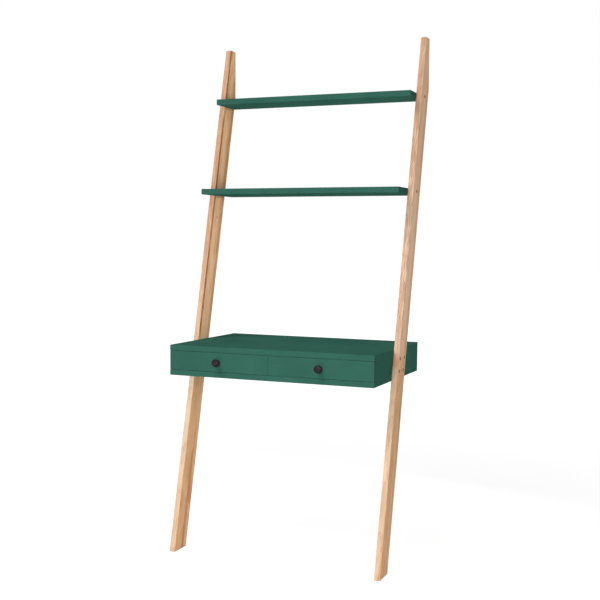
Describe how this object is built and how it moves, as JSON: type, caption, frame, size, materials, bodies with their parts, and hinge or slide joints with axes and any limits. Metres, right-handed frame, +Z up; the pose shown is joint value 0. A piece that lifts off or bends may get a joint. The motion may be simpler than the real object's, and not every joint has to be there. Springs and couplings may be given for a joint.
{
  "type": "ladder desk",
  "caption": "Leaning ladder desk: two pale wood rails lean back to the wall and carry two painted shelves and a desk box with a pair of knobbed drawers.",
  "frame": {"origin": "on the floor, at the centre of the desk's outline", "axes": "+Z up, +X to the right of someone sitting at the desk, +Y towards the wall that it leans on"},
  "size_m": [0.792, 0.535, 1.838],
  "materials": {
    "rail_wood": "clear matt lacquer on pale solid wood",
    "green_paint": "satin dark green paint",
    "black_metal": "satin black",
    "bronze_steel": "dark antique bronze",
    "dowel_wood": "bare beech",
    "panel_board": "smooth thin board",
    "drawer_wood": "sanded and lacquered",
    "ball_steel": "polished",
    "zinc_steel": "zinc plated"
  },
  "bodies": {
    "frame": {"back_screws": "zinc_steel", "cabinet_runner_screws": "zinc_steel", "carcass_dowels": "dowel_wood", "carcass_screws": "zinc_steel", "desk_back": "green_paint", "desk_bolts": "bronze_steel", "desk_bottom": "green_paint", "desk_divider": "green_paint", "desk_inserts": "zinc_steel", "desk_left_side": "green_paint", "desk_right_side": "green_paint", "desk_top": "green_paint", "hanger_screws": "zinc_steel", "left_drawer_left_cabinet_runner": "zinc_steel", "left_drawer_right_cabinet_runner": "zinc_steel", "left_rail": "rail_wood", "left_wall_hanger": "zinc_steel", "middle_shelf": "green_paint", "right_drawer_left_cabinet_runner": "zinc_steel", "right_drawer_right_cabinet_runner": "zinc_steel", "right_rail": "rail_wood", "right_wall_hanger": "zinc_steel", "shelf_bolts": "bronze_steel", "shelf_dowels": "dowel_wood", "shelf_inserts": "zinc_steel", "top_shelf": "green_paint"},
    "left_drawer": {"left_drawer_back": "drawer_wood", "left_drawer_back_screws": "zinc_steel", "left_drawer_bottom": "panel_board", "left_drawer_front": "green_paint", "left_drawer_front_dowels": "dowel_wood", "left_drawer_knob": "black_metal", "left_drawer_knob_screw": "zinc_steel", "left_drawer_left_drawer_runner": "zinc_steel", "left_drawer_left_side": "drawer_wood", "left_drawer_right_drawer_runner": "zinc_steel", "left_drawer_right_side": "drawer_wood", "left_drawer_runner_screws": "zinc_steel"},
    "left_drawer_left_cage": {"left_drawer_left_ball_cage": "zinc_steel", "left_drawer_left_balls": "ball_steel"},
    "left_drawer_right_cage": {"left_drawer_right_ball_cage": "zinc_steel", "left_drawer_right_balls": "ball_steel"},
    "right_drawer": {"right_drawer_back": "drawer_wood", "right_drawer_back_screws": "zinc_steel", "right_drawer_bottom": "panel_board", "right_drawer_front": "green_paint", "right_drawer_front_dowels": "dowel_wood", "right_drawer_knob": "black_metal", "right_drawer_knob_screw": "zinc_steel", "right_drawer_left_drawer_runner": "zinc_steel", "right_drawer_left_side": "drawer_wood", "right_drawer_right_drawer_runner": "zinc_steel", "right_drawer_right_side": "drawer_wood", "right_drawer_runner_screws": "zinc_steel"},
    "right_drawer_left_cage": {"right_drawer_left_ball_cage": "zinc_steel", "right_drawer_left_balls": "ball_steel"},
    "right_drawer_right_cage": {"right_drawer_right_ball_cage": "zinc_steel", "right_drawer_right_balls": "ball_steel"}
  },
  "joints": [
    {"name": "left_drawer_slide", "type": "slide", "parent": "frame", "child": "left_drawer", "axis": [0, -1, 0], "range_m": [0, 0.3]},
    {"name": "left_drawer_left_cage_slide", "type": "slide", "parent": "frame", "child": "left_drawer_left_cage", "axis": [0, -1, 0], "range_m": [0, 0.15]},
    {"name": "left_drawer_right_cage_slide", "type": "slide", "parent": "frame", "child": "left_drawer_right_cage", "axis": [0, -1, 0], "range_m": [0, 0.15]},
    {"name": "right_drawer_slide", "type": "slide", "parent": "frame", "child": "right_drawer", "axis": [0, -1, 0], "range_m": [0, 0.3]},
    {"name": "right_drawer_left_cage_slide", "type": "slide", "parent": "frame", "child": "right_drawer_left_cage", "axis": [0, -1, 0], "range_m": [0, 0.15]},
    {"name": "right_drawer_right_cage_slide", "type": "slide", "parent": "frame", "child": "right_drawer_right_cage", "axis": [0, -1, 0], "range_m": [0, 0.15]}
  ],
  "couplings": [
    {"joint": "left_drawer_left_cage_slide", "follows": "left_drawer_slide", "ratio": 0.5},
    {"joint": "left_drawer_right_cage_slide", "follows": "left_drawer_slide", "ratio": 0.5},
    {"joint": "right_drawer_left_cage_slide", "follows": "right_drawer_slide", "ratio": 0.5},
    {"joint": "right_drawer_right_cage_slide", "follows": "right_drawer_slide", "ratio": 0.5}
  ]
}
